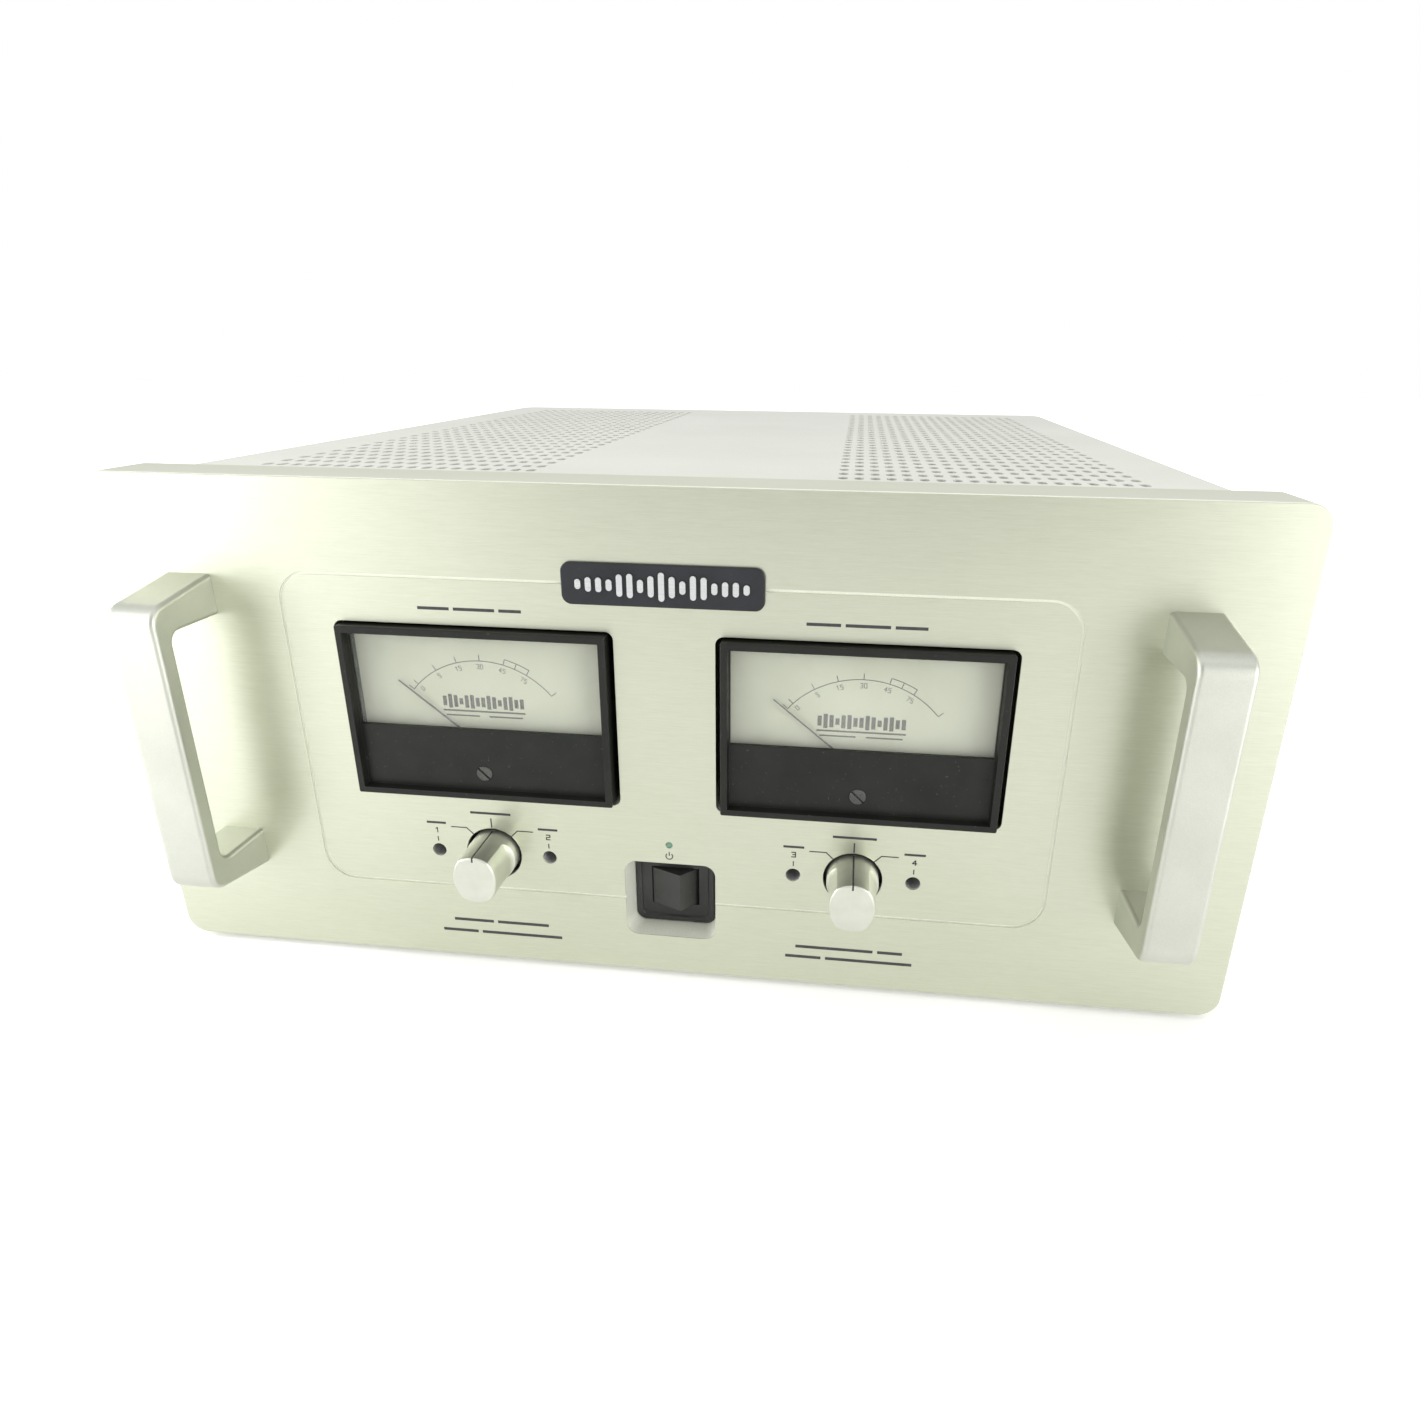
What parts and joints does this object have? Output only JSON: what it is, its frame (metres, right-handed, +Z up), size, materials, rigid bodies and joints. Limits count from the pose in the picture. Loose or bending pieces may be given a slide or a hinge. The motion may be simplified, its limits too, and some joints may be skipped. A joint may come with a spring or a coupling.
{
  "type": "power amplifier",
  "caption": "Rack-width valve stereo power amplifier with a thick brushed front panel, twin power meters, bias knobs, rocker switch, handles and a slotted silver cover.",
  "frame": {"origin": "middle of the footprint, on the surface it stands on", "axes": "+Z up, the front panel faces -Y, +X to the right as seen from the front"},
  "size_m": [0.4826, 0.531, 0.2253],
  "materials": {
    "brushed_panel": "natural anodised, brushed along its length",
    "badge_black": "satin black",
    "emblem_silver": "satin silver",
    "blasted_aluminium": "bead-blasted and anodised",
    "satin_knob": "fine-turned satin",
    "zinc_screws": "zinc plated",
    "chassis_sheet": "plain sheet",
    "silver_cover": "silver-grey satin powder coat",
    "rear_sheet": "silver-grey satin powder coat",
    "foot_rubber": "matt black",
    "bezel_black": "satin black moulding",
    "lens_clear": "clear",
    "dial_cream": "warm pale matt",
    "black_plastic": "black moulding",
    "pointer_black": "matt black",
    "lamp_green": "diffuse green",
    "transformer_steel": "black enamelled laminations",
    "board_green": "solder mask",
    "valve_glass": "clear with a silvered crown",
    "capacitor_sleeve": "shrink sleeve",
    "guard_chrome": "bright plated wire",
    "connector_metal": "nickel shell",
    "latch_metal": "pressed steel",
    "terminal_brass": "gold-tone plated"
  },
  "bodies": {
    "amplifier": {"front_panel": "brushed_panel", "badge_plate": "badge_black", "badge_emblem": "emblem_silver", "handle_left": "blasted_aluminium", "handle_right": "blasted_aluminium", "handle_screws": "zinc_screws", "chassis_tray": "chassis_sheet", "rear_panel": "rear_sheet", "top_cover": "silver_cover", "feet": "foot_rubber", "chassis_screws": "zinc_screws", "meter_bezel_left": "bezel_black", "meter_bezel_right": "bezel_black", "meter_lens_left": "lens_clear", "meter_lens_right": "lens_clear", "meter_dial_left": "dial_cream", "meter_dial_right": "dial_cream", "meter_case_left": "black_plastic", "meter_case_right": "black_plastic", "rotary_switches": "black_plastic", "bias_pots": "black_plastic", "switch_body": "black_plastic", "power_led": "lamp_green", "power_transformer": "transformer_steel", "output_transformer_left": "transformer_steel", "output_transformer_right": "transformer_steel", "transformer_bolts": "zinc_screws", "valve_boards": "board_green", "board_standoffs": "zinc_screws", "valve_sockets": "black_plastic", "output_valve_bases": "black_plastic", "output_valves": "valve_glass", "driver_valves": "valve_glass", "filter_capacitors": "capacitor_sleeve", "coupling_capacitors": "black_plastic", "wiring_harness": "black_plastic", "fan_frames": "black_plastic", "fan_guards": "guard_chrome", "mains_inlet": "black_plastic", "fuse_holder": "black_plastic", "input_connectors": "connector_metal", "speaker_terminals": "black_plastic", "terminal_screws": "terminal_brass", "trigger_jack": "black_plastic"},
    "knob_left": {"knob_left": "satin_knob"},
    "knob_right": {"knob_right": "satin_knob"},
    "pointer_left": {"pointer_left": "pointer_black"},
    "pointer_right": {"pointer_right": "pointer_black"},
    "zero_screw_left": {"zero_screw_left": "bezel_black"},
    "zero_screw_right": {"zero_screw_right": "bezel_black"},
    "bias_screw_1": {"bias_screw_1": "zinc_screws"},
    "bias_screw_2": {"bias_screw_2": "zinc_screws"},
    "bias_screw_3": {"bias_screw_3": "zinc_screws"},
    "bias_screw_4": {"bias_screw_4": "zinc_screws"},
    "power_rocker": {"power_rocker": "black_plastic"},
    "fan_rotor_left": {"fan_rotor_left": "black_plastic"},
    "fan_rotor_right": {"fan_rotor_right": "black_plastic"},
    "fuse_cap": {"fuse_cap": "black_plastic"},
    "input_latch_left": {"input_latch_left": "latch_metal"},
    "input_latch_right": {"input_latch_right": "latch_metal"}
  },
  "joints": [
    {"name": "knob_left_turn", "type": "hinge", "parent": "amplifier", "child": "knob_left", "pos_m": [-0.0805, -0.2295, 0.0595], "axis": [0, 1, 0], "range_deg": [-45, 45]},
    {"name": "knob_right_turn", "type": "hinge", "parent": "amplifier", "child": "knob_right", "pos_m": [0.0805, -0.2295, 0.0595], "axis": [0, 1, 0], "range_deg": [-45, 45]},
    {"name": "pointer_left_swing", "type": "hinge", "parent": "amplifier", "child": "pointer_left", "pos_m": [-0.0806, -0.226, 0.11], "axis": [0, 1, 0], "range_deg": [0, 101], "stiffness_Nm_per_rad": 0.0003, "springref_deg": -28.65},
    {"name": "pointer_right_swing", "type": "hinge", "parent": "amplifier", "child": "pointer_right", "pos_m": [0.0806, -0.226, 0.11], "axis": [0, 1, 0], "range_deg": [0, 101], "stiffness_Nm_per_rad": 0.0003, "springref_deg": -28.65},
    {"name": "zero_screw_left_turn", "type": "hinge", "parent": "amplifier", "child": "zero_screw_left", "pos_m": [-0.0806, -0.2295, 0.1], "axis": [0, 1, 0], "range_deg": [-60, 60]},
    {"name": "zero_screw_right_turn", "type": "hinge", "parent": "amplifier", "child": "zero_screw_right", "pos_m": [0.0806, -0.2295, 0.1], "axis": [0, 1, 0], "range_deg": [-60, 60]},
    {"name": "bias_1_turn", "type": "hinge", "parent": "amplifier", "child": "bias_screw_1", "pos_m": [-0.1063, -0.2175, 0.0595], "axis": [0, 1, 0], "range_deg": [-135, 135]},
    {"name": "bias_2_turn", "type": "hinge", "parent": "amplifier", "child": "bias_screw_2", "pos_m": [-0.0547, -0.2175, 0.0595], "axis": [0, 1, 0], "range_deg": [-135, 135]},
    {"name": "bias_3_turn", "type": "hinge", "parent": "amplifier", "child": "bias_screw_3", "pos_m": [0.0547, -0.2175, 0.0595], "axis": [0, 1, 0], "range_deg": [-135, 135]},
    {"name": "bias_4_turn", "type": "hinge", "parent": "amplifier", "child": "bias_screw_4", "pos_m": [0.1063, -0.2175, 0.0595], "axis": [0, 1, 0], "range_deg": [-135, 135]},
    {"name": "rocker_tilt", "type": "hinge", "parent": "amplifier", "child": "power_rocker", "pos_m": [0, -0.2079, 0.04155], "axis": [0, 0, 1], "range_deg": [-24, 0]},
    {"name": "fan_left_spin", "type": "hinge", "parent": "amplifier", "child": "fan_rotor_left", "pos_m": [-0.15, 0.2295, 0.16], "axis": [0, 1, 0], "continuous": true},
    {"name": "fan_right_spin", "type": "hinge", "parent": "amplifier", "child": "fan_rotor_right", "pos_m": [0.15, 0.2295, 0.16], "axis": [0, 1, 0], "continuous": true},
    {"name": "fuse_cap_turn", "type": "hinge", "parent": "amplifier", "child": "fuse_cap", "pos_m": [0.055, 0.2433, 0.062], "axis": [0, 1, 0], "range_deg": [0, 90]},
    {"name": "input_latch_left_press", "type": "slide", "parent": "amplifier", "child": "input_latch_left", "axis": [0, 0, -1], "range_m": [0, 0.0015], "stiffness_N_per_m": 300, "springref_m": -0.001},
    {"name": "input_latch_right_press", "type": "slide", "parent": "amplifier", "child": "input_latch_right", "axis": [0, 0, -1], "range_m": [0, 0.0015], "stiffness_N_per_m": 300, "springref_m": -0.001}
  ]
}
